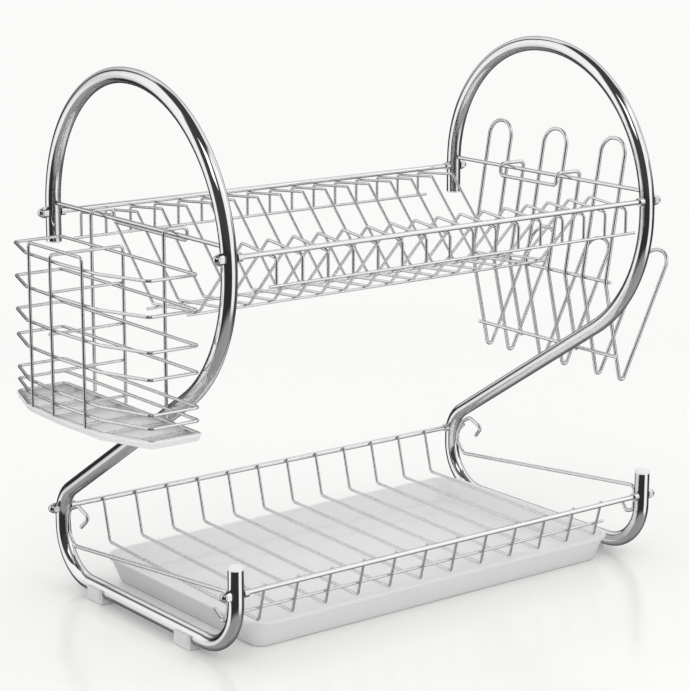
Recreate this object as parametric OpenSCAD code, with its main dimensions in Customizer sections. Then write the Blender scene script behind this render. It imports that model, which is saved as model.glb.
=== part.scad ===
// Two-tier dish drying rack: two bent tube side frames joined by rods, a wire plate
// rack, a wire lower rack, a hanging cutlery basket, a hanging cup holder and a tray.
// Millimetres. +X runs along the length, +Y is the back, +Z is up, the floor is Z = 0.

/* [Side frames] */
// Distance between the centre planes of the two side frames
frame_span = 406; // [340:1:480]
// Outside diameter of the side tube
tube_diameter = 12; // [10:0.5:13]
// Wall thickness of the side tube
tube_wall = 1; // [0.8:0.1:1.5]
// Depth from the front upright to the rear upright at the floor run
base_depth = 242.4; // [236:0.2:260]
// Depth of the arch from its front leg to its back leg
arch_depth = 240.1; // [236:0.1:246]
// Height of the tube centre at the top of the arch
arch_top_height = 415.5; // [400:0.5:440]
// Height of the free end of the front upright
upright_top_height = 74.6; // [72:0.1:84]
// Height of the free end at the back of the arch
arch_end_height = 277.3; // [272:0.1:285]
// Bend radius of the two corners at the floor
floor_bend_radius = 39.2; // [34:0.1:40]
// Bend radius of the elbow at the foot of the sloping part
elbow_bend_radius = 31.2; // [28:0.1:32]
// Slope of the sloping part above the horizontal, in degrees
slope_angle = 32.36; // [30:0.1:34]

/* [Feet and caps] */
// Thickness of the foot pad under the tube
foot_pad = 3; // [2.5:0.1:4]
// Length of each foot along the tube
foot_length = 26; // [18:1:30]
// Distance of each foot from the middle of the floor run
foot_offset = 62; // [54:1:66]
// Height of the plastic cap above the tube end
cap_height = 3; // [2:0.5:6]
// Length of the cap stem inside the tube
cap_stem = 9; // [6:1:14]

/* [Rails] */
// Diameter of the four long rails
rail_diameter = 4; // [3.5:0.1:5]
// Height of the two upper rails
upper_rail_height = 300; // [297:0.5:301]
// Height of the lower back rail
lower_back_rail_height = 62; // [60:0.5:64]
// Height of the lower front rail
lower_front_rail_height = 55.5; // [54:0.5:60]
// Diameter of the threaded ends of the rails
rail_thread = 3; // [2.5:0.1:3.2]
// Diameter of the collars inside the frames
collar_diameter = 7; // [6:0.5:8]
// Length of the collars
collar_length = 4; // [3:0.5:6]
// Width across the flats of the dome nuts
nut_width = 7.4; // [6.5:0.1:8]
// Full length of the dome nuts
nut_length = 7.4; // [7:0.1:9]

/* [Plate rack] */
// Number of plate wires
plate_wire_count = 16; // [10:1:18]
// Spacing of the plate wires
plate_wire_pitch = 22.75; // [18:0.25:24]
// Sideways step of each plate wire from back to front
plate_wire_skew = 11.5; // [0:0.5:14]
// Diameter of the plate wires
plate_wire = 2.2; // [2:0.1:2.4]
// Height of the bottom of the plate wires
plate_floor_height = 240.7; // [225:0.5:250]
// Height of the two crests of the plate wires
plate_crest_height = 301; // [299:0.5:304]
// Distance of the crests from the centre line
plate_crest_offset = 79; // [70:1:88]
// Distance of the lower bends from the centre line
plate_floor_offset = 22.5; // [20:0.5:28]
// Height of the free ends of the plate wires
plate_leg_end_height = 275.4; // [270:0.2:280]
// Overhang of the long wires beyond the last plate wire
long_wire_overhang = 8; // [4:1:10]

/* [Side bars and end wires] */
// Diameter of the side bars that carry the basket and the cup holder
side_bar = 3.2; // [2.8:0.1:3.5]
// Height of the side bars
side_bar_height = 307.5; // [306:0.5:310]
// Diameter of the hooked end wires
end_wire = 3; // [2.6:0.1:3.2]
// Height of the right end wire at the front upright
end_wire_height = 62; // [61:0.5:64]
// How much lower the left end wire sits
end_wire_drop = 7; // [0:0.5:9]

/* [Lower rack] */
// Number of lower cross wires
lower_wire_count = 12; // [8:1:13]
// Spacing of the lower cross wires
lower_wire_pitch = 30.5; // [26:0.5:31]
// Sideways step of each lower wire from back to front
lower_wire_skew = -8; // [-10:0.5:0]
// Diameter of the lower cross wires
lower_wire = 2.2; // [2:0.1:2.4]
// Height of the back bend of the lower wires
lower_back_bend_height = 28.6; // [27.5:0.2:32]
// Height of the front bend of the lower wires
lower_front_bend_height = 27.3; // [26.4:0.1:31]

/* [Drip tray] */
// Length of the drip tray at the rim
tray_length = 366; // [340:1:372]
// Depth of the drip tray at the rim
tray_depth = 216; // [200:1:224]
// Height of the drip tray
tray_height = 22; // [16:0.5:23]
// Inward lean of the tray walls from rim to floor
tray_lean = 9; // [4:0.5:14]
// Wall thickness of the drip tray
tray_wall = 1.6; // [1.2:0.1:2.4]
// Corner radius of the drip tray at the rim
tray_corner = 20; // [14:1:30]

/* [Cutlery basket] */
// Diameter of the basket ring wires
basket_wire = 2.4; // [2:0.1:2.6]
// Diameter of the hanger wire
basket_hanger_wire = 2.6; // [2.2:0.1:2.8]
// Width of the basket along the side frame
basket_width = 187; // [160:1:195]
// Reach of the basket away from the frame
basket_reach = 57.3; // [45:0.5:66]
// Middle of the basket along Y
basket_middle = 0.5; // [-2:0.5:6]
// Height of the top ring
basket_top_height = 286; // [280:0.5:290]
// Spacing of the upper rings
basket_ring_pitch = 25.5; // [22:0.5:26]
// Spacing between the third and the fourth ring
basket_short_pitch = 19.6; // [18:0.2:25]
// Spacing of the three lowest rings
basket_low_pitch = 9.7; // [7:0.1:10]
// Clearance between the lowest ring and its tray
cup_tray_gap = 0.5; // [0.4:0.1:1]
// Wall thickness of the basket tray
cup_tray_wall = 1.2; // [1:0.1:1.8]

/* [Cup holder] */
// Diameter of the cup holder wires
cup_wire = 3; // [2.6:0.1:3.2]
// Spacing of the cup hooks
cup_hook_pitch = 70; // [60:1:74]
// Half the width of one cup hook
cup_hook_half_width = 14; // [11:0.5:15]
// Middle of the cup holder along Y
cup_middle = 14; // [12:0.5:16]
// Height of the top of the cup hooks
cup_top_height = 342; // [335:1:350]
// Height of the inward kink of the cup hooks
cup_kink_height = 225; // [220:1:236]
// Height of the lowest bend of the cup hooks
cup_low_height = 134; // [130:1:150]
// Height of the outer tips of the cup hooks
cup_tip_height = 242; // [230:1:255]
// Reach of the outer tips beyond the frame plane
cup_reach = 78; // [60:1:82]

/* [Fits] */
// Gap left at each weld between two wires of one assembly
weld_gap = 0.05; // [0.03:0.01:0.08]
// Gap between parts that lift or slide off and what carries them
loose_gap = 0.35; // [0.3:0.05:0.6]
// Gap round stems and threads inside their holes
hole_gap = 0.1; // [0.1:0.05:0.3]

/* [Hidden] */

// a bend is a little thicker than the straights, which run a little way into it
bend_step = 0.03;
bend_lap = 0.1;

steel = [0.80, 0.81, 0.83];
white = [0.93, 0.94, 0.94];
clear = [0.88, 0.92, 0.93, 0.55];
$fn = 36;

// side frame
tube_r = tube_diameter / 2;
frame_x = frame_span / 2;
run_z = foot_pad + tube_r;
upright_y = -base_depth / 2 - 1.1;
rear_y = base_depth / 2 - 1.1;
leg_back_y = rear_y + 2.2;
leg_front_y = leg_back_y - arch_depth;
arch_front_r = 0.5252 * arch_depth;
arch_back_r = arch_depth - arch_front_r - 3;
arch_front_z = arch_top_height - arch_front_r;
turn = 90 - slope_angle;
elbow_low_z = run_z + floor_bend_radius + 5.9;
elbow_z = elbow_low_z + elbow_bend_radius * tan(turn / 2);
slope_top_z = elbow_z + (rear_y - leg_front_y) * tan(slope_angle);
lower_arc_r = (arch_front_z - slope_top_z - 1.5) / tan(turn / 2);
arch_mid_y = leg_front_y + arch_front_r;
frame_path = [[upright_y, upright_top_height], [upright_y, run_z], [rear_y, run_z],
              [rear_y, elbow_z], [leg_front_y, slope_top_z],
              [leg_front_y, arch_top_height], [leg_back_y, arch_top_height],
              [leg_back_y, arch_end_height]];
frame_radii = [0, floor_bend_radius, floor_bend_radius, elbow_bend_radius,
               lower_arc_r, arch_front_r, arch_back_r, 0];
bend_z = run_z + floor_bend_radius;
bend_back_y = rear_y - floor_bend_radius;
bend_front_y = upright_y + floor_bend_radius;
elbow_y = rear_y - elbow_bend_radius;

// rails
lower_back_y = elbow_y + sqrt(pow(elbow_bend_radius, 2)
               - pow(lower_back_rail_height - elbow_low_z, 2));
rail_places = [[leg_back_y, upper_rail_height], [leg_front_y, upper_rail_height],
               [lower_back_y, lower_back_rail_height],
               [upright_y, lower_front_rail_height]];
collar_face = frame_x - tube_r - weld_gap;
rail_half = collar_face - collar_length + 1;
thread_end = frame_x + tube_r + nut_length - 2.6;

// plate rack
plate_step = (rail_diameter + plate_wire) / 2 + weld_gap;
plate_leg_back = leg_back_y + 3.2;
plate_leg_front = leg_front_y - 3.2;
plate_shoulder = upper_rail_height - plate_step;
rise_back = (plate_crest_height - plate_shoulder) / (plate_leg_back - 3.2 - plate_crest_offset);
plate_half = (plate_wire_count - 1) * plate_wire_pitch / 2;
plate_pair = plate_wire + weld_gap;

// side bars
bar_back = leg_back_y - tube_r - 0.5;
bar_front = arch_mid_y - sqrt(pow(arch_front_r, 2)
            - pow(side_bar_height - arch_front_z + side_bar / 2, 2)) + tube_r + 0.4;

// end wires
end_touch = tube_r + end_wire / 2 + weld_gap + 0.1;

// lower rack
lower_step = ((rail_diameter + lower_wire) / 2 + weld_gap) / cos(14.8);
lower_back_x = -(lower_wire_count - 1) * lower_wire_pitch / 2;
lower_back_bend = lower_back_y - lower_step
                  - (lower_back_rail_height - lower_back_bend_height) * tan(14.8);
lower_front_bend = upright_y + lower_step
                   + (lower_front_rail_height - lower_front_bend_height) * tan(14.8);

// basket
basket_back_x = -frame_x - tube_r - loose_gap - basket_hanger_wire - weld_gap
                - basket_wire / 2;
hanger_x = basket_back_x + (basket_wire + basket_hanger_wire) / 2 + weld_gap;
basket_front_x = basket_back_x - basket_reach;
fourth_ring = basket_top_height - 2 * basket_ring_pitch - basket_short_pitch;
ring_heights = [basket_top_height, basket_top_height - basket_ring_pitch,
                basket_top_height - 2 * basket_ring_pitch, fourth_ring,
                fourth_ring - basket_ring_pitch,
                fourth_ring - basket_ring_pitch - basket_low_pitch,
                fourth_ring - basket_ring_pitch - 2 * basket_low_pitch];
ring_low = ring_heights[6];
half_w = basket_width / 2;
shoulder_w = half_w - 42;
ring_outline = [[basket_back_x, 0], [basket_back_x, half_w], [basket_back_x - 40, half_w],
                [basket_front_x + 2.5, shoulder_w], [basket_front_x, 0],
                [basket_front_x + 2.5, -shoulder_w], [basket_back_x - 40, -half_w],
                [basket_back_x, -half_w], [basket_back_x, 0]];
ring_radii = [0, 3, 3.5, 4, 60, 4, 3.5, 3, 0];
hang_y = basket_middle + 3;
tray_rim_z = ring_low + 0.5;
leg_low_z = tray_rim_z + 0.5;
hook_top_z = side_bar_height + side_bar / 2 + loose_gap + basket_hanger_wire / 2;
hook_inner_x = -frame_x + 12.5;

// cup holder
cup_top_x = frame_x + 22.5;
cup_kink_x = frame_x + 2.8;
cup_low_x = frame_x + 23.5;
cup_tip_x = frame_x + cup_reach;
upper_lean = atan2(cup_top_x - cup_kink_x, cup_top_height - cup_kink_height);
lower_lean = atan2(cup_low_x - cup_kink_x, cup_kink_height - cup_low_height);
cup_hook_top_z = side_bar_height + side_bar / 2 + loose_gap + cup_wire / 2;
cup_turn_r = cup_hook_half_width - 1;
cup_bar_z = cup_low_height + 27;

function unit(v) = v / norm(v);

function place3(x, p) = [x, p[0], p[1]];

// straight round bar from a to b
module rod(a, b, d) {
  v = b - a;
  h = norm(v);
  if (h > 0.001) {
    translate(a)
      rotate([0, acos(v[2] / h), atan2(v[1], v[0])])
        cylinder(h = h, d = d);
  }
}

// bend of a bar: starts at s, heads along u, turns about a centre c at radius r
module bend(c, n, u, r, angle, d) {
  z = cross(-n, u);
  multmatrix([[-n[0], u[0], z[0], c[0]],
              [-n[1], u[1], z[1], c[1]],
              [-n[2], u[2], z[2], c[2]],
              [0, 0, 0, 1]])
    rotate_extrude(angle = angle)
      translate([r, 0])
        circle(d = d + 2 * bend_step);
}

// bar that follows a list of points with a bend radius at each
module wire(points, radii, d) {
  last = len(points) - 1;
  dirs = [for (i = [0:last - 1]) unit(points[i + 1] - points[i])];
  turns = [for (i = [0:last]) (i == 0 || i == last) ? 0
           : acos(max(-1, min(1, dirs[i - 1] * dirs[i])))];
  cuts = [for (i = [0:last]) radii[i] * tan(turns[i] / 2)];
  for (i = [0:last - 1])
    rod(points[i] + (cuts[i] - (cuts[i] > 0 ? bend_lap : 0)) * dirs[i],
        points[i + 1] - (cuts[i + 1] - (cuts[i + 1] > 0 ? bend_lap : 0)) * dirs[i], d);
  for (i = [1:last - 1]) {
    if (turns[i] > 0.01) {
      n = unit(dirs[i] - (dirs[i] * dirs[i - 1]) * dirs[i - 1]);
      c = points[i] - cuts[i] * dirs[i - 1] + radii[i] * n;
      bend(c, n, dirs[i - 1], radii[i], turns[i], d);
    }
  }
}

// bar with one bend radius at every point
module even_wire(points, r, d) {
  wire(points, [for (p = points) r], d);
}

module rail_holes(x, places) {
  for (p = places)
    translate([x - tube_diameter, p[0], p[1]])
      rotate([0, 90, 0])
        cylinder(h = 2 * tube_diameter, d = rail_thread + 2 * hole_gap);
}

module side_frame(x) {
  bore_path = [for (i = [0:len(frame_path) - 1])
               i == 0 ? frame_path[0] + [0, 1]
               : i == len(frame_path) - 1 ? frame_path[i] - [0, 1]
               : frame_path[i]];
  color(steel)
    difference() {
      wire([for (p = frame_path) place3(x, p)], frame_radii, tube_diameter);
      wire([for (p = bore_path) place3(x, p)], frame_radii, tube_diameter - 2 * tube_wall);
      rail_holes(x, rail_places);
    }
}

module left_side_frame() {
  side_frame(-frame_x);
}

module right_side_frame() {
  side_frame(frame_x);
}

module upright_end_caps() {
  color(white)
    for (x = [-frame_x, frame_x])
      translate([x, upright_y, upright_top_height]) {
        translate([0, 0, weld_gap])
          cylinder(h = cap_height, d = tube_diameter + 0.4);
        translate([0, 0, -cap_stem])
          cylinder(h = cap_stem + 1, d = tube_diameter - 2 * tube_wall - 2 * hole_gap);
      }
}

module arch_end_plugs() {
  color(white)
    for (x = [-frame_x, frame_x])
      translate([x, leg_back_y, arch_end_height]) {
        translate([0, 0, -weld_gap - 1.2])
          cylinder(h = 1.2, d = tube_diameter);
        translate([0, 0, -1])
          cylinder(h = cap_stem + 1, d = tube_diameter - 2 * tube_wall - 2 * hole_gap);
      }
}

// saddle that clips round the floor run from below
module foot(x, y) {
  color(clear)
    translate([x, y - foot_length / 2, run_z])
      difference() {
        intersection() {
          rotate([-90, 0, 0])
            cylinder(h = foot_length, d = tube_diameter + 2 * foot_pad + 1.2);
          translate([-tube_diameter, 0, -run_z])
            cube([2 * tube_diameter, foot_length, run_z + 2.5]);
        }
        translate([0, -1, 0])
          rotate([-90, 0, 0])
            cylinder(h = foot_length + 2, d = tube_diameter + 2 * weld_gap);
      }
}

module foot_front_left() {
  foot(-frame_x, -foot_offset);
}

module foot_front_right() {
  foot(frame_x, -foot_offset);
}

module foot_back_left() {
  foot(-frame_x, foot_offset);
}

module foot_back_right() {
  foot(frame_x, foot_offset);
}

// rail with turned-down threaded ends
module rail(p) {
  color(steel) {
    rod([-rail_half, p[0], p[1]], [rail_half, p[0], p[1]], rail_diameter);
    for (side = [-1, 1])
      rod([side * rail_half, p[0], p[1]], [side * thread_end, p[0], p[1]], rail_thread);
  }
}

module upper_back_rail() {
  rail(rail_places[0]);
}

module upper_front_rail() {
  rail(rail_places[1]);
}

module lower_back_rail() {
  rail(rail_places[2]);
}

module lower_front_rail() {
  rail(rail_places[3]);
}

// collars against the inside of the frames, bored for the rail and its thread
module rail_collars() {
  color(steel)
    for (p = rail_places)
      for (side = [-1, 1])
        translate([side * collar_face, p[0], p[1]])
          rotate([0, -90 * side, 0])
            difference() {
              cylinder(h = collar_length, d = collar_diameter);
              translate([0, 0, -1])
                cylinder(h = collar_length + 2, d = rail_thread + 2 * hole_gap);
              translate([0, 0, collar_length - 1 - hole_gap])
                cylinder(h = 2, d = rail_diameter + 2 * hole_gap);
            }
}

// dome nut, open at z = 0, closed at the top
module dome_nut() {
  dome_r = nut_width / 2 - 0.2;
  difference() {
    union() {
      cylinder(h = nut_length - dome_r, d = nut_width / cos(30), $fn = 6);
      translate([0, 0, nut_length - dome_r])
        intersection() {
          sphere(r = dome_r);
          translate([-dome_r - 1, -dome_r - 1, -0.5])
            cube([2 * dome_r + 2, 2 * dome_r + 2, dome_r + 2]);
        }
    }
    translate([0, 0, -1])
      cylinder(h = nut_length - 1, d = rail_thread + 2 * hole_gap);
  }
}

module cap_nuts() {
  color(steel)
    for (p = rail_places)
      for (side = [-1, 1])
        translate([side * (frame_x + tube_r + weld_gap), p[0], p[1]])
          rotate([0, 90 * side, 0])
            dome_nut();
}

module bar_between_legs(x) {
  color(steel)
    rod([x, bar_front, side_bar_height], [x, bar_back, side_bar_height], side_bar);
}

module left_side_bar() {
  bar_between_legs(-frame_x);
}

module right_side_bar() {
  bar_between_legs(frame_x);
}

// wire with a hook at each end, lying against the inside of the lower frame
function inner_front(z) = z > bend_z ? upright_y + end_touch
  : bend_front_y - sqrt(pow(floor_bend_radius - end_touch, 2) - pow(bend_z - z, 2));

function inner_back(z) = z > elbow_low_z
  ? elbow_y + sqrt(pow(elbow_bend_radius - end_touch, 2) - pow(z - elbow_low_z, 2))
  : z > bend_z ? rear_y - end_touch
  : bend_back_y + sqrt(pow(floor_bend_radius - end_touch, 2) - pow(bend_z - z, 2));

module end_wire_at(x, top, splay) {
  z0 = top;
  low = z0 - 21;
  color(steel)
    wire([[x + splay, upright_y + 25, z0 - 16],
          [x, upright_y + 17, low - 3],
          [x, inner_front(low) + 0.3, low],
          [x, inner_front(z0), z0],
          [x, rear_y - 17, z0 - 21.8],
          [x, inner_back(z0 - 12) - 0.4, z0 - 12],
          [x, inner_back(z0 - 4) - 0.4, z0 - 4],
          [x, inner_back(z0 + 7) - 1.4, z0 + 7],
          [x, elbow_y + 7, z0 + 13],
          [x, elbow_y - 9.4, z0 + 7],
          [x + splay, elbow_y, z0 - 2.5]],
         [0, 3, 3, 5, 6, 5, 4, 5, 6, 3, 0], end_wire);
}

module left_end_wire() {
  end_wire_at(-frame_x, end_wire_height - end_wire_drop, -2);
}

module right_end_wire() {
  end_wire_at(frame_x, end_wire_height, 2);
}

// plate wire that hangs under both upper rails and dips to the plate floor
module plate_wire_at(x) {
  xf = x + plate_wire_skew;
  even_wire([[x, plate_leg_back, plate_leg_end_height],
             [x, plate_leg_back, plate_shoulder - 3.2 * rise_back],
             [x, plate_crest_offset, plate_crest_height],
             [x, plate_floor_offset, plate_floor_height],
             [xf, -plate_floor_offset, plate_floor_height],
             [xf, -plate_crest_offset, plate_crest_height],
             [xf, plate_leg_front, plate_shoulder - 3.2 * rise_back],
             [xf, plate_leg_front, plate_leg_end_height]], 3, plate_wire);
}

module plate_wires() {
  color(steel)
    for (i = [0:plate_wire_count - 1])
      plate_wire_at(i * plate_wire_pitch - plate_half - plate_wire_skew / 2);
}

module long_wire(y, z, shift) {
  x = plate_half + long_wire_overhang;
  rod([shift - x, y, z], [shift + x, y, z], plate_wire);
}

module plate_back_long_wire() {
  color(steel)
    long_wire(plate_leg_back - plate_pair, plate_leg_end_height + 1.6, -plate_wire_skew / 2);
}

module plate_front_long_wire() {
  color(steel)
    long_wire(plate_leg_front - plate_pair, plate_leg_end_height + 1.6, plate_wire_skew / 2);
}

module plate_floor_long_wires() {
  color(steel) {
    long_wire(plate_floor_offset - 4, plate_floor_height - plate_pair, -plate_wire_skew / 2);
    long_wire(4 - plate_floor_offset, plate_floor_height - plate_pair, plate_wire_skew / 2);
  }
}

module lower_wire_at(x) {
  xf = x + lower_wire_skew;
  lean = tan(14.8);
  even_wire([[x, lower_back_y - lower_step + 2.2 * lean, lower_back_rail_height + 2.2],
             [x, lower_back_bend, lower_back_bend_height],
             [xf, lower_front_bend, lower_front_bend_height],
             [xf, upright_y + lower_step - 2.2 * lean, lower_front_rail_height + 2.2]],
            3, lower_wire);
}

module lower_cross_wires() {
  color(steel)
    for (i = [0:lower_wire_count - 1])
      lower_wire_at(lower_back_x + i * lower_wire_pitch);
}

module lower_front_long_wire() {
  z = lower_front_bend_height + 10;
  y = upright_y + lower_step + (lower_front_rail_height - z) * tan(14.8)
      + (lower_wire + weld_gap) / cos(14.8);
  x = lower_back_x + lower_wire_skew;
  color(steel)
    rod([x - 14, y, z], [-lower_back_x + lower_wire_skew + 10, y, z], lower_wire);
}

// open tray with leaning walls and a small turned-out rim
module tray_solid(length, depth, corner, lean, z0, z1) {
  hull()
    for (x = [-1, 1])
      for (y = [-1, 1])
        translate([x * (length / 2 - corner), y * (depth / 2 - corner), z0])
          cylinder(h = z1 - z0, r1 = corner - lean, r2 = corner);
}

module drip_tray() {
  slope = tray_lean / tray_height;
  color(clear)
    translate([5, -1, 0])
      difference() {
        tray_solid(tray_length, tray_depth, tray_corner, tray_lean, 0, tray_height);
        tray_solid(tray_length - 2 * tray_wall + 2 * slope, tray_depth - 2 * tray_wall + 2 * slope,
                   tray_corner - tray_wall + slope, tray_lean - slope * (tray_wall - 1),
                   tray_wall, tray_height + 1);
      }
}

function ring_x(y) = abs(y) < shoulder_w
  ? basket_front_x + 2.5 * abs(y) / shoulder_w
  : basket_front_x + 2.5
    + (basket_back_x - 42.5 - basket_front_x) * (abs(y) - shoulder_w) / (half_w - shoulder_w);

module basket_rings() {
  color(steel)
    for (z = ring_heights)
      wire([for (p = ring_outline) [p[0], p[1] + basket_middle, z]], ring_radii, basket_wire);
}

module basket_hanger() {
  bar_z = hook_top_z - 10;
  color(steel)
    wire([[hanger_x, hang_y - 50, leg_low_z],
          [hanger_x, hang_y - 50, hook_top_z],
          [hook_inner_x, hang_y - 50, hook_top_z],
          [hook_inner_x, hang_y - 50, bar_z],
          [hook_inner_x, hang_y + 50, bar_z],
          [hook_inner_x, hang_y + 50, hook_top_z],
          [hanger_x, hang_y + 50, hook_top_z],
          [hanger_x, hang_y + 50, leg_low_z]],
         [0, 4, 4, 4, 4, 4, 4, 0], basket_hanger_wire);
}

module basket_outer_loop() {
  x = ring_x(34) - basket_wire - weld_gap;
  z = basket_top_height + 9.5;
  color(steel)
    even_wire([[x, hang_y - 37, leg_low_z], [x, hang_y - 37, z],
               [x, hang_y + 38, z], [x, hang_y + 38, leg_low_z]],
              3.5, basket_wire);
}

module basket_divider_loop() {
  xo = ring_x(8.5) - basket_wire - weld_gap;
  z = basket_top_height + 5;
  y = hang_y + 5.5;
  color(steel)
    even_wire([[xo, y, leg_low_z], [xo, y, z],
               [hanger_x - 0.1, y, z], [hanger_x - 0.1, y, leg_low_z]],
              3, basket_wire);
}

module basket_divider_wires() {
  y = hang_y + 5.5 + basket_wire + weld_gap;
  x0 = ring_x(8.5) - basket_wire - 1;
  rest = ring_heights[1] + basket_wire + weld_gap;
  color(steel)
    for (z = [rest, ring_heights[2] - 3, ring_heights[3] - 11.4, ring_heights[5] - 3.8])
      rod([x0, y, z], [hanger_x + 0.8, y, z], basket_wire - 0.2);
}

module basket_floor_wires() {
  d = basket_wire - 0.4;
  z = ring_low - (basket_wire + d) / 2 - weld_gap;
  color(steel)
    for (y = [-76, -46, -16, 16, 46, 76])
      rod([ring_x(y) - 0.4, y + basket_middle, z], [basket_back_x + 0.4, y + basket_middle, z], d);
}

// points of the basket tray outline, grown by g from the ring centre line
function tray_points(g) = [[basket_back_x + g, half_w + g - 3],
  [basket_back_x + g - 3, half_w + g], [basket_back_x - 40 - g * 0.2, half_w + g],
  [basket_back_x - 43 - g * 0.8, half_w + g * 0.75 - 2.5],
  [basket_front_x + 2.5 - g, shoulder_w + g * 0.3], [basket_front_x - g, g],
  [basket_front_x - g, -g], [basket_front_x + 2.5 - g, -shoulder_w - g * 0.3],
  [basket_back_x - 43 - g * 0.8, -half_w - g * 0.75 + 2.5],
  [basket_back_x - 40 - g * 0.2, -half_w - g], [basket_back_x + g - 3, -half_w - g],
  [basket_back_x + g, -half_w - g + 3]];

module basket_tray() {
  inner = basket_wire / 2 + cup_tray_gap;
  floor_z = ring_low - 1.5 * basket_wire - 0.5;
  color(clear)
    translate([0, basket_middle, 0])
      difference() {
        translate([0, 0, floor_z - cup_tray_wall])
          linear_extrude(height = tray_rim_z - floor_z + cup_tray_wall)
            polygon(tray_points(inner + cup_tray_wall));
        translate([0, 0, floor_z])
          linear_extrude(height = 20)
            polygon(tray_points(inner));
      }
}

// closed loop: tall back, kink, low bend and an outer tip that holds the cup
module cup_hook(y) {
  w = cup_hook_half_width;
  color(steel)
    wire([[cup_top_x, y, cup_top_height],
          [cup_top_x, y + w, cup_top_height],
          [cup_kink_x, y + w, cup_kink_height],
          [cup_low_x, y + w, cup_low_height],
          [cup_tip_x, y + w, cup_tip_height],
          [cup_tip_x, y - w, cup_tip_height],
          [cup_low_x, y - w, cup_low_height],
          [cup_kink_x, y - w, cup_kink_height],
          [cup_top_x, y - w, cup_top_height],
          [cup_top_x, y, cup_top_height]],
         [0, cup_turn_r, 10, 3, cup_turn_r, cup_turn_r, 3, 10, cup_turn_r, 0], cup_wire);
}

module cup_hook_back() {
  cup_hook(cup_middle + cup_hook_pitch);
}

module cup_hook_middle() {
  cup_hook(cup_middle);
}

module cup_hook_front() {
  cup_hook(cup_middle - cup_hook_pitch);
}

module cup_bar(x, z) {
  half = cup_hook_pitch + cup_hook_half_width + 2.5;
  color(steel)
    rod([x, cup_middle - half, z], [x, cup_middle + half, z], cup_wire);
}

module cup_upper_bar() {
  pair = cup_wire + weld_gap;
  fillet = 10 / cos((upper_lean + lower_lean) / 2) - 10;
  cup_bar(cup_kink_x + fillet + pair, cup_kink_height);
}

module cup_lower_bar() {
  pair = cup_wire + weld_gap;
  x = cup_kink_x + (cup_kink_height - cup_bar_z) * tan(lower_lean);
  cup_bar(x - pair / cos(lower_lean), cup_bar_z);
}

module cup_hanger() {
  xt = cup_kink_x + (cup_hook_top_z - cup_kink_height) * tan(upper_lean);
  zl = cup_bar_z - 4;
  xl = cup_kink_x + (cup_kink_height - zl) * tan(lower_lean);
  half = cup_hook_pitch / 2;
  inner_x = frame_x - 9.5;
  bar_z = cup_hook_top_z - 10;
  y0 = cup_middle - half;
  y1 = cup_middle + half;
  color(steel)
    wire([[xl, y0, zl], [cup_kink_x, y0, cup_kink_height], [xt, y0, cup_hook_top_z],
          [inner_x, y0, cup_hook_top_z], [inner_x, y0, bar_z],
          [inner_x, y1, bar_z], [inner_x, y1, cup_hook_top_z],
          [xt, y1, cup_hook_top_z], [cup_kink_x, y1, cup_kink_height], [xl, y1, zl]],
         [0, 10, 4, 4, 4, 4, 4, 4, 10, 0], cup_wire);
}

left_side_frame();
right_side_frame();
upright_end_caps();
arch_end_plugs();
foot_front_left();
foot_front_right();
foot_back_left();
foot_back_right();
upper_back_rail();
upper_front_rail();
lower_back_rail();
lower_front_rail();
rail_collars();
cap_nuts();
left_side_bar();
right_side_bar();
left_end_wire();
right_end_wire();
plate_wires();
plate_back_long_wire();
plate_front_long_wire();
plate_floor_long_wires();
lower_cross_wires();
lower_front_long_wire();
drip_tray();
basket_rings();
basket_hanger();
basket_outer_loop();
basket_divider_loop();
basket_divider_wires();
basket_floor_wires();
basket_tray();
cup_hook_back();
cup_hook_middle();
cup_hook_front();
cup_upper_bar();
cup_lower_bar();
cup_hanger();
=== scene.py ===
"""Looks of the dish drying rack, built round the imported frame. Metres, +Z up, the floor is Z = 0."""

import math

import bmesh
import bpy
from mathutils import Matrix, Vector


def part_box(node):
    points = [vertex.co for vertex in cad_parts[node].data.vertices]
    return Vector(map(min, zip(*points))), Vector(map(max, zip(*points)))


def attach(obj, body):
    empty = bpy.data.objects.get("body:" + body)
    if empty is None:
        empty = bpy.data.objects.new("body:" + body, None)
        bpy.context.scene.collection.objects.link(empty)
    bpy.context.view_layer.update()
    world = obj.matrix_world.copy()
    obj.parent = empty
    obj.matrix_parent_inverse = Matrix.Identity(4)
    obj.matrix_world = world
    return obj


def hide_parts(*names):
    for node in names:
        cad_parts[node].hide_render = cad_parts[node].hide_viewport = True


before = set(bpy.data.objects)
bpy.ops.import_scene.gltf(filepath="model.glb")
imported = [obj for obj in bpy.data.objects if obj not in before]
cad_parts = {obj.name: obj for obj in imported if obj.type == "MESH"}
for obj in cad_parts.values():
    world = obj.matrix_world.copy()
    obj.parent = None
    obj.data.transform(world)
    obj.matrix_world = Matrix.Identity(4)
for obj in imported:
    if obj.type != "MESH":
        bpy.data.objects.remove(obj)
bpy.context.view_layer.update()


def lo(node):
    """Lowest corner of a CAD node."""
    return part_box(node)[0]


def hi(node):
    """Highest corner of a CAD node."""
    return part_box(node)[1]


# ---------------------------------------------------------------- shader helpers

MIX_AMOUNT, MIX_A, MIX_B, MIX_COLOUR = 0, 6, 7, 2  # sockets of a Mix node set to colours
NOISE_START, NOISE_END = 0.3, 0.7  # the part of a noise texture's range that is spread out


def new_material(name):
    """A material with its node tree and principled shader."""
    mat = bpy.data.materials.new(name)
    mat.use_nodes = True
    tree = mat.node_tree
    return mat, tree, tree.nodes["Principled BSDF"]


def noise(tree, scale, detail):
    """A noise texture in object space."""
    coord = tree.nodes.new("ShaderNodeTexCoord")
    texture = tree.nodes.new("ShaderNodeTexNoise")
    texture.inputs["Scale"].default_value = scale
    texture.inputs["Detail"].default_value = detail
    tree.links.new(coord.outputs["Object"], texture.inputs["Vector"])
    return texture.outputs["Fac"]


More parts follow.
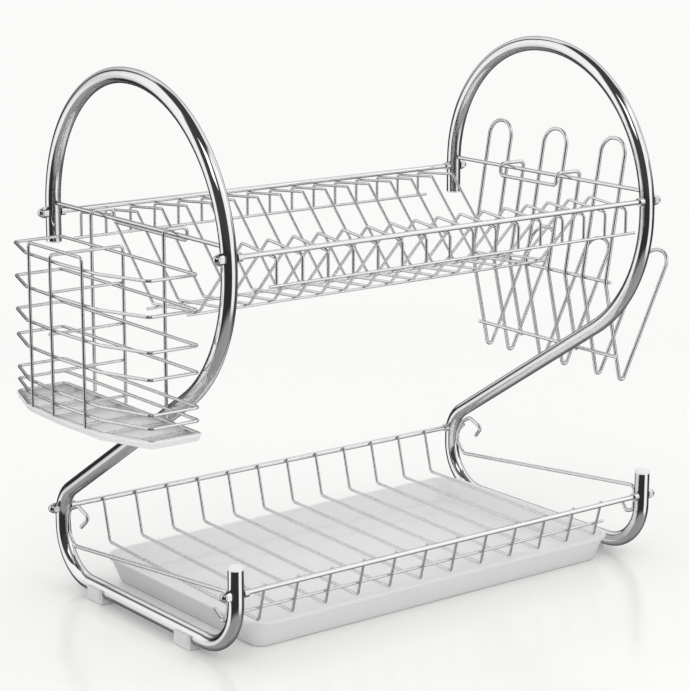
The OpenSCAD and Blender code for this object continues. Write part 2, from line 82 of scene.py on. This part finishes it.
def mix(tree, amount, first, second):
    """Mixes two colours by a 0..1 value. Each colour is a tuple or another node's output."""
    node = tree.nodes.new("ShaderNodeMix")
    node.data_type = "RGBA"
    tree.links.new(amount, node.inputs[MIX_AMOUNT])
    for socket, colour in ((node.inputs[MIX_A], first), (node.inputs[MIX_B], second)):
        if isinstance(colour, tuple):
            socket.default_value = (*colour, 1.0)
        else:
            tree.links.new(colour, socket)
    return node.outputs[MIX_COLOUR]


def levels(tree, value, low, high):
    """Spreads a noise value between two levels."""
    node = tree.nodes.new("ShaderNodeMapRange")
    node.inputs["From Min"].default_value = NOISE_START
    node.inputs["From Max"].default_value = NOISE_END
    node.inputs["To Min"].default_value = low
    node.inputs["To Max"].default_value = high
    tree.links.new(value, node.inputs["Value"])
    return node.outputs["Result"]


def ease(tree, value, start, end):
    """Maps start..end smoothly to 0..1."""
    node = tree.nodes.new("ShaderNodeMapRange")
    node.interpolation_type = "SMOOTHSTEP"
    node.inputs["From Min"].default_value = start
    node.inputs["From Max"].default_value = end
    tree.links.new(value, node.inputs["Value"])
    return node.outputs["Result"]


def vector_math(tree, operation, first, second=None):
    """A vector operation on an output and, where it takes one, a constant vector."""
    node = tree.nodes.new("ShaderNodeVectorMath")
    node.operation = operation
    tree.links.new(first, node.inputs[0])
    if second is not None:
        node.inputs[1].default_value = second
    return node.outputs["Value" if operation in ("LENGTH", "DOT_PRODUCT") else "Vector"]


def add_bump(tree, shader, height, strength, distance):
    """Bump from a height value."""
    node = tree.nodes.new("ShaderNodeBump")
    node.inputs["Strength"].default_value = strength
    node.inputs["Distance"].default_value = distance
    tree.links.new(height, node.inputs["Height"])
    tree.links.new(node.outputs["Normal"], shader.inputs["Normal"])


# ---------------------------------------------------------------- materials

# each noise is a scale and a detail
CHROME_CLOUD = (38.0, 3.0)
CHROME_POLISH = (260.0, 5.0)
CHROME_RIPPLE = (90.0, 2.0)
CHROME_RIPPLE_DEPTH = 0.0004
PLASTIC_CLOUD = (14.0, 3.0)
PLASTIC_POLISH = (120.0, 4.0)
PLASTIC_GRAIN = (900.0, 2.0)
PLASTIC_GRAIN_DEPTH = 0.0002
PLASTIC_IOR = 1.46


def chrome(name, tone, dark, edge, rough, ripple):
    """Plated steel: faint cloudy tone, darker edges, uneven polish and a very shallow draw ripple."""
    mat, tree, shader = new_material(name)
    shader.inputs["Metallic"].default_value = 1.0
    shader.inputs["Specular Tint"].default_value = (edge, edge, edge, 1.0)
    cloud = noise(tree, *CHROME_CLOUD)
    tree.links.new(mix(tree, cloud, dark, tone), shader.inputs["Base Color"])
    polish = noise(tree, *CHROME_POLISH)
    tree.links.new(levels(tree, polish, *rough), shader.inputs["Roughness"])
    add_bump(tree, shader, noise(tree, *CHROME_RIPPLE), ripple, CHROME_RIPPLE_DEPTH)
    return mat


def plastic(name, tone, shade, rough, see_through, grain):
    """Moulded plastic with faint flow clouding and a fine moulded grain."""
    mat, tree, shader = new_material(name)
    shader.inputs["Transmission Weight"].default_value = see_through
    shader.inputs["IOR"].default_value = PLASTIC_IOR
    cloud = noise(tree, *PLASTIC_CLOUD)
    tree.links.new(mix(tree, cloud, shade, tone), shader.inputs["Base Color"])
    polish = noise(tree, *PLASTIC_POLISH)
    tree.links.new(levels(tree, polish, *rough), shader.inputs["Roughness"])
    add_bump(tree, shader, noise(tree, *PLASTIC_GRAIN), grain, PLASTIC_GRAIN_DEPTH)
    return mat


tube_chrome = chrome("tube_chrome", tone=(0.92, 0.92, 0.93), dark=(0.85, 0.85, 0.86), edge=0.35,
                     rough=(0.04, 0.09), ripple=0.08)
wire_chrome = chrome("wire_chrome", tone=(0.94, 0.94, 0.94), dark=(0.86, 0.86, 0.86), edge=0.12,
                     rough=(0.22, 0.30), ripple=0.08)
rail_chrome = chrome("rail_chrome", tone=(0.93, 0.93, 0.94), dark=(0.85, 0.85, 0.86), edge=0.15,
                     rough=(0.04, 0.10), ripple=0.10)
nut_chrome = chrome("nut_chrome", tone=(0.88, 0.88, 0.89), dark=(0.76, 0.76, 0.77), edge=0.30,
                    rough=(0.06, 0.14), ripple=0.12)
cap_white = plastic("cap_white", tone=(0.90, 0.91, 0.91), shade=(0.84, 0.85, 0.86),
                    rough=(0.25, 0.38), see_through=0.0, grain=0.10)
foot_clear = plastic("foot_clear", tone=(0.95, 0.955, 0.955), shade=(0.91, 0.92, 0.92),
                     rough=(0.30, 0.42), see_through=0.25, grain=0.03)
tray_clear = plastic("tray_clear", tone=(0.95, 0.955, 0.955), shade=(0.92, 0.925, 0.925),
                     rough=(0.36, 0.46), see_through=0.10, grain=0.02)

CORNERS = ("front_left", "front_right", "back_left", "back_right")
CAD_SHARP = 0.6  # radians: CAD edges that turn by more than this stay sharp


def paint(node, mat):
    """Gives a CAD node its material, and smooth shading apart from its sharp edges."""
    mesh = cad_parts[node].data
    mesh.materials.clear()
    mesh.materials.append(mat)
    for poly in mesh.polygons:
        poly.use_smooth = True
        poly.material_index = 0
    mesh.set_sharp_from_angle(angle=CAD_SHARP)


painted = [
    (tube_chrome, ["left_side_frame", "right_side_frame"]),
    (rail_chrome, ["upper_back_rail", "upper_front_rail", "lower_back_rail", "lower_front_rail",
                   "left_side_bar", "right_side_bar"]),
    (nut_chrome, ["rail_collars", "cap_nuts"]),
    (wire_chrome, ["left_end_wire", "right_end_wire", "plate_wires", "plate_back_long_wire",
                   "plate_front_long_wire", "plate_floor_long_wires", "lower_cross_wires",
                   "lower_front_long_wire"]),
    (wire_chrome, ["basket_rings", "basket_hanger", "basket_outer_loop", "basket_divider_loop",
                   "basket_divider_wires", "basket_floor_wires"]),
    (wire_chrome, ["cup_hook_back", "cup_hook_middle", "cup_hook_front", "cup_upper_bar",
                   "cup_lower_bar", "cup_hanger"]),
    (cap_white, ["upright_end_caps", "arch_end_plugs"]),
    (foot_clear, ["foot_" + corner for corner in CORNERS]),
    (tray_clear, ["drip_tray", "basket_tray"]),
]
for mat, nodes in painted:
    for node in nodes:
        paint(node, mat)

# ---------------------------------------------------------------- mesh helpers

MADE_SHARP = 0.7  # radians: edges of the shaped pieces that turn by more than this stay sharp
CORNER_STEPS = 8
LEAST_CORNER = 0.0004
LATHE_STEPS = 40


def mesh_object(name, bm, mat):
    """Turns a bmesh into an object with smooth faces and one material."""
    bmesh.ops.recalc_face_normals(bm, faces=bm.faces)
    mesh = bpy.data.meshes.new(name)
    bm.to_mesh(mesh)
    bm.free()
    mesh.materials.append(mat)
    for poly in mesh.polygons:
        poly.use_smooth = True
    mesh.set_sharp_from_angle(angle=MADE_SHARP)
    obj = bpy.data.objects.new(name, mesh)
    bpy.context.scene.collection.objects.link(obj)
    return obj


def skin(bm, rings):
    """Joins rings of equally many vertices into one closed solid."""
    count = len(rings[0])
    for near, far in zip(rings, rings[1:]):
        for i in range(count):
            j = (i + 1) % count
            bm.faces.new((near[i], near[j], far[j], far[i]))
    bm.faces.new(rings[0])
    bm.faces.new(rings[-1])


def grown_outline(corners, radii, grow):
    """A convex outline moved outward by grow, with rounded corners, as points."""
    count = len(corners)
    points = []
    for i in range(count):
        before = (corners[i] - corners[i - 1]).normalized()
        after = (corners[(i + 1) % count] - corners[i]).normalized()
        turn = before.angle(after)
        out = (Vector((before.y, -before.x)) + Vector((after.y, -after.x))).normalized()
        corner = corners[i] + out * (grow / math.cos(turn / 2))
        radius = max(radii[i] + grow, LEAST_CORNER)
        cut = radius * math.tan(turn / 2)
        centre = corner - out * (radius / math.cos(turn / 2))
        start = corner - before * cut - centre
        first = math.atan2(start.y, start.x)
        for k in range(CORNER_STEPS + 1):
            angle = first + turn * k / CORNER_STEPS
            points.append(centre + radius * Vector((math.cos(angle), math.sin(angle))))
    return points


def dish(name, corners, radii, profile, mat):
    """A moulded dish. The profile's (grow, height) points run from under the floor, up and over
    the rim and down to the floor."""
    bm = bmesh.new()
    rings = []
    for grow, z in profile:
        outline = grown_outline(corners, radii, grow)
        rings.append([bm.verts.new((point.x, point.y, z)) for point in outline])
    skin(bm, rings)
    return mesh_object(name, bm, mat)


def lathe(name, profile, place, mat):
    """A closed solid turned round the vertical through place, from (radius, height) points."""
    bm = bmesh.new()
    rings = []
    for radius, z in profile:
        ring = []
        for k in range(LATHE_STEPS):
            angle = 2 * math.pi * k / LATHE_STEPS
            ring.append(bm.verts.new((place[0] + radius * math.cos(angle),
                                      place[1] + radius * math.sin(angle), place[2] + z)))
        rings.append(ring)
    skin(bm, rings)
    return mesh_object(name, bm, mat)


# ---------------------------------------------------------------- trays


def make_drip_tray():
    """Leaning walls, a turned rim, and a floor in two steps, each behind a low ridge."""
    low, high = lo("drip_tray"), hi("drip_tray")
    corner_radius = 0.020
    top = high[2]
    corners = [Vector((low[0], low[1])), Vector((high[0], low[1])),
               Vector((high[0], high[1])), Vector((low[0], high[1]))]
    outside = [(-0.0108, 0.0), (-0.0096, 0.0003), (-0.0090, 0.0012), (-0.0022, top - 0.0032)]
    rim = [(-0.0004, top - 0.0030), (0.0, top - 0.0022), (0.0, top - 0.0006), (-0.0006, top),
           (-0.0026, top), (-0.0036, top - 0.0010)]
    inside = [(-0.0098, 0.0048), (-0.0104, 0.0040), (-0.0114, 0.0038)]
    outer_floor = [(-0.0124, 0.0042), (-0.0134, 0.0042), (-0.0144, 0.0036), (-0.0390, 0.0030)]
    inner_floor = [(-0.0400, 0.0034), (-0.0412, 0.0034), (-0.0422, 0.0026), (-0.0900, 0.0022)]
    tray = dish("drip_tray_shell", corners, [corner_radius] * 4,
                outside + rim + inside + outer_floor + inner_floor, tray_clear)
    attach(tray, "tray")
    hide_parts("drip_tray")


def make_basket_tray():
    """The tray under the cutlery basket, on the outline of the basket's rings."""
    ring_lo, ring_hi = lo("basket_rings"), hi("basket_rings")
    wire_radius = 0.0012
    side_run, corner_cut, bow = 0.040, 0.042, 0.0025
    back_x, front_x = ring_hi[0] - wire_radius, ring_lo[0] + wire_radius
    middle = (ring_lo[1] + ring_hi[1]) / 2
    half = (ring_hi[1] - ring_lo[1]) / 2 - wire_radius
    corners = [Vector((back_x, middle + half)),
               Vector((back_x - side_run, middle + half)),
               Vector((front_x + bow, middle + half - corner_cut)),
               Vector((front_x, middle)),
               Vector((front_x + bow, middle - half + corner_cut)),
               Vector((back_x - side_run, middle - half)),
               Vector((back_x, middle - half))]
    radii = [0.003, 0.006, 0.010, 0.040, 0.010, 0.006, 0.003]
    base, rim_z = lo("basket_tray")[2], hi("basket_tray")[2]
    outside = [(-0.0010, base), (0.0004, base + 0.0003), (0.0012, base + 0.0012),
               (0.0022, rim_z - 0.0016)]
    rim = [(0.0028, rim_z - 0.0012), (0.0028, rim_z - 0.0003), (0.0025, rim_z),
           (0.0019, rim_z), (0.0017, rim_z - 0.0004)]
    inside = [(0.0014, base + 0.0022), (0.0002, base + 0.0013), (-0.0060, base + 0.0011)]
    tray = dish("basket_tray_shell", corners, radii, outside + rim + inside, tray_clear)
    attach(tray, "basket_bottom_tray")
    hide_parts("basket_tray")


make_drip_tray()
make_basket_tray()

# ---------------------------------------------------------------- caps and feet


def make_caps():
    """Soft-edged caps on the two front uprights, each with a stem inside the tube."""
    low, high = lo("upright_end_caps"), hi("upright_end_caps")
    radius, height = 0.0062, 0.0031
    stem_radius, stem_length = 0.0049, 0.0138
    profile = [(stem_radius - 0.0002, -stem_length), (stem_radius, 0.0008 - stem_length),
               (stem_radius, 0.0), (radius - 0.0001, 0.00005), (radius, 0.0004),
               (radius, height - 0.0018), (radius - 0.0003, height - 0.0010),
               (radius - 0.0010, height - 0.0003), (radius - 0.0020, height), (0.0010, height)]
    seat_y, seat_z = (low[1] + high[1]) / 2, high[2] - height
    for hand, seat_x in (("left", low[0] + radius), ("right", high[0] - radius)):
        cap = lathe("cap_" + hand, profile, (seat_x, seat_y, seat_z), cap_white)
        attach(cap, "rack")
    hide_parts("upright_end_caps")


SADDLE_BORE = 0.00605
SADDLE_REACH = 0.0090  # half the widest foot, across the tube
SADDLE_WRAP = math.radians(16)  # how far the arms pass the widest part of the tube
SADDLE_STEPS = 24
SADDLE_LENGTH, SADDLE_FLARE = 0.70, 0.22  # shares of the CAD foot's length
FLARE_HEIGHT, FLARE_POWER = 0.0036, 1.5
END_ROUND, END_SHRINK, END_LIFT = 0.0007, 0.93, 0.0003  # softened edges of the two ends


def make_saddle(name, node):
    """A clip-on foot: arms that wrap the tube, straight flanks and a flared pad on the floor."""
    low, high = lo(node), hi(node)
    tube_lo, tube_hi = lo("left_side_frame"), hi("left_side_frame")
    tube_z = tube_lo[2] + (tube_hi[0] - tube_lo[0]) / 2
    x, y = (low[0] + high[0]) / 2, (low[1] + high[1]) / 2
    half = (high[1] - low[1]) / 2
    reach = min((high[0] - low[0]) / 2, SADDLE_REACH)
    arm_top = tube_z + SADDLE_BORE * math.sin(SADDLE_WRAP) + 0.0006
    flank = [(reach - 0.0004, 0.0), (reach, 0.0004), (reach, 0.0026), (reach, 0.0040),
             (reach, arm_top)]
    outer = [(-px, pz) for px, pz in reversed(flank)] + [(0.0, 0.0)] + flank
    bore = []
    for k in range(SADDLE_STEPS + 1):
        angle = SADDLE_WRAP - (math.pi + 2 * SADDLE_WRAP) * k / SADDLE_STEPS
        bore.append((SADDLE_BORE * math.cos(angle), tube_z + SADDLE_BORE * math.sin(angle)))
    bm = bmesh.new()
    rows = []
    for end, inset in ((-1, 0.0), (-1, END_ROUND), (1, END_ROUND), (1, 0.0)):
        row = []
        for i, (px, pz) in enumerate(outer + bore):
            # the foot is longer along the tube towards the floor
            flare = max(0.0, 1.0 - pz / FLARE_HEIGHT) ** FLARE_POWER
            length = half * (SADDLE_LENGTH + SADDLE_FLARE * flare) - inset
            shrink = 1.0 if inset or i >= len(outer) else END_SHRINK
            lift = END_LIFT if not inset and pz == 0.0 else 0.0
            row.append(bm.verts.new((x + px * shrink, y + end * length, pz + lift)))
        rows.append(row)
    skin(bm, rows)
    bmesh.ops.triangulate(bm, faces=[face for face in bm.faces if len(face.verts) > 4])
    saddle = mesh_object(name, bm, foot_clear)
    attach(saddle, "rack")
    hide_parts(node)


make_caps()
for corner in CORNERS:
    make_saddle("saddle_" + corner, "foot_" + corner)

# ---------------------------------------------------------------- floor and lights

FLOOR_RADIUS = 1.2
FLOOR_FADE = (0.50, 1.15)  # distance from the middle over which the floor turns clear
FLOOR_DROP = 0.0003
FLOOR_CLOUD = (1.2, 2.0)
FLOOR_TONES = ((0.955, 0.955, 0.945), (0.965, 0.965, 0.955))
FLOOR_ROUGHNESS = 0.16
FLOOR_SPECULAR = 0.28
SKY_COLOUR = (1.0, 1.0, 0.99, 1.0)
SKY_STRENGTH = 0.955
SET_MIDDLE = (0.0, 0.0, 0.15)


def floor_material():
    """Pale gloss board that fades to nothing at its rim."""
    mat, tree, shader = new_material("floor")
    shader.inputs["Roughness"].default_value = FLOOR_ROUGHNESS
    shader.inputs["Specular IOR Level"].default_value = FLOOR_SPECULAR
    cloud = noise(tree, *FLOOR_CLOUD)
    tree.links.new(mix(tree, cloud, *FLOOR_TONES), shader.inputs["Base Color"])
    coord = tree.nodes.new("ShaderNodeTexCoord")
    distance = vector_math(tree, "LENGTH", coord.outputs["Object"])
    clear = tree.nodes.new("ShaderNodeBsdfTransparent")
    blend = tree.nodes.new("ShaderNodeMixShader")
    tree.links.new(ease(tree, distance, *FLOOR_FADE), blend.inputs[0])
    tree.links.new(shader.outputs["BSDF"], blend.inputs[1])
    tree.links.new(clear.outputs["BSDF"], blend.inputs[2])
    tree.links.new(blend.outputs["Shader"], tree.nodes["Material Output"].inputs["Surface"])
    return mat


def make_floor():
    """A disc just under the feet. Reflections see the room instead of it."""
    bm = bmesh.new()
    bmesh.ops.create_circle(bm, cap_ends=True, segments=96, radius=FLOOR_RADIUS)
    floor = mesh_object("floor", bm, floor_material())
    floor.location.z = -FLOOR_DROP
    floor.visible_glossy = False


def make_sky():
    """Even pale light from all sides."""
    world = bpy.data.worlds.new("studio")
    bpy.context.scene.world = world
    world.use_nodes = True
    background = world.node_tree.nodes["Background"]
    background.inputs["Color"].default_value = SKY_COLOUR
    background.inputs["Strength"].default_value = SKY_STRENGTH
    bpy.context.scene.view_settings.view_transform = "Standard"


def softbox(name, place, size, power):
    """A rectangular studio light, in watts, aimed at the middle of the set."""
    data = bpy.data.lights.new(name, "AREA")
    data.shape = "RECTANGLE"
    data.size, data.size_y = size
    data.energy = power
    obj = bpy.data.objects.new(name, data)
    obj.location = place
    obj.rotation_mode = "QUATERNION"
    obj.rotation_quaternion = (Vector(SET_MIDDLE) - Vector(place)).to_track_quat("-Z", "Y")
    bpy.context.scene.collection.objects.link(obj)


make_floor()
make_sky()
softbox("key", place=(-1.3, -1.4, 2.4), size=(1.2, 1.2), power=7.0)
softbox("fill", place=(1.9, -1.1, 1.6), size=(0.8, 1.6), power=3.0)

# ---------------------------------------------------------------- room that only gloss sees

ROOM_RADIUS = 4.0
ROOM_FACING = math.radians(-50)
# grey levels from behind the set (0) round to the front (1), at three heights
LOW_BANDS = [(0.0, 0.12), (0.18, 0.03), (0.32, 0.03), (0.38, 0.75), (0.60, 1.0), (0.88, 0.95),
             (0.915, 0.04), (1.0, 0.03)]
HIGH_BANDS = [(0.0, 0.95), (0.10, 0.95), (0.14, 0.10), (0.25, 0.10), (0.30, 0.90), (0.45, 1.0),
              (0.88, 1.0), (0.93, 0.06), (1.0, 0.05)]
GROUND_BANDS = [(0.0, 0.20), (0.5, 0.36), (1.0, 0.30)]
TOP_COLOUR = (0.05, 0.05, 0.05)
# heights over which one set of levels turns into the next
GROUND_TO_LOW = (-2.4, -1.6)
LOW_TO_HIGH = (0.25, 0.65)
HIGH_TO_TOP = (3.35, 3.6)


def bands(tree, value, stops):
    """A grey ramp over 0..1 through (position, level) stops."""
    node = tree.nodes.new("ShaderNodeValToRGB")
    elements = node.color_ramp.elements
    elements.remove(elements[-1])
    elements[0].position = stops[0][0]
    for position, _ in stops[1:]:
        elements.new(position)
    for element, (_, level) in zip(elements, stops):
        element.color = (level, level, level, 1.0)
    tree.links.new(value, node.inputs["Fac"])
    return node.outputs["Color"]


def room_material():
    """White panels with dark gaps between them."""
    mat, tree, shader = new_material("studio_surround")
    tree.nodes.remove(shader)
    coord = tree.nodes.new("ShaderNodeTexCoord")
    across = vector_math(tree, "MULTIPLY", coord.outputs["Object"], (1.0, 1.0, 0.0))
    direction = vector_math(tree, "NORMALIZE", across)
    facing = (math.sin(ROOM_FACING), -math.cos(ROOM_FACING), 0.0)
    front = ease(tree, vector_math(tree, "DOT_PRODUCT", direction, facing), -1.0, 1.0)
    split = tree.nodes.new("ShaderNodeSeparateXYZ")
    tree.links.new(coord.outputs["Object"], split.inputs["Vector"])
    height = split.outputs["Z"]
    tone = mix(tree, ease(tree, height, *LOW_TO_HIGH), bands(tree, front, LOW_BANDS),
               bands(tree, front, HIGH_BANDS))
    tone = mix(tree, ease(tree, height, *HIGH_TO_TOP), tone, TOP_COLOUR)
    tone = mix(tree, ease(tree, height, *GROUND_TO_LOW), bands(tree, front, GROUND_BANDS), tone)
    glow = tree.nodes.new("ShaderNodeEmission")
    tree.links.new(tone, glow.inputs["Color"])
    tree.links.new(glow.outputs["Emission"], tree.nodes["Material Output"].inputs["Surface"])
    mat.cycles.emission_sampling = "NONE"
    return mat


def make_room():
    """A large sphere round the set. It lights nothing and casts no shadow."""
    bm = bmesh.new()
    bmesh.ops.create_uvsphere(bm, u_segments=48, v_segments=24, radius=ROOM_RADIUS)
    room = mesh_object("surround", bm, room_material())
    room.visible_camera = False
    room.visible_diffuse = False
    room.visible_transmission = False
    room.visible_shadow = False


make_room()

# ---------------------------------------------------------------- camera

AZIMUTH = math.radians(-37.464)
ELEVATION = math.radians(13.155)
ROLL = math.radians(0.12)
TARGET = Vector((0.0594, 0.0929, 0.1620))
DISTANCE = 1.9036
SENSOR_WIDTH = 36.0
LENS = 116.8


def make_camera():
    """A camera at the photograph's viewing angle, looking at TARGET."""
    back = Vector((math.sin(AZIMUTH) * math.cos(ELEVATION),
                   -math.cos(AZIMUTH) * math.cos(ELEVATION), math.sin(ELEVATION)))
    right = Vector((math.cos(AZIMUTH), math.sin(AZIMUTH), 0.0))
    up = back.cross(right)
    rolled_right = right * math.cos(ROLL) + up * math.sin(ROLL)
    rolled_up = up * math.cos(ROLL) - right * math.sin(ROLL)
    camera = bpy.data.objects.new("camera", bpy.data.cameras.new("camera"))
    camera.data.sensor_width = SENSOR_WIDTH
    camera.data.lens = LENS
    camera.matrix_world = (Matrix.Translation(TARGET + back * DISTANCE)
                           @ Matrix((rolled_right, rolled_up, back)).transposed().to_4x4())
    bpy.context.scene.collection.objects.link(camera)
    bpy.context.scene.camera = camera


make_camera()
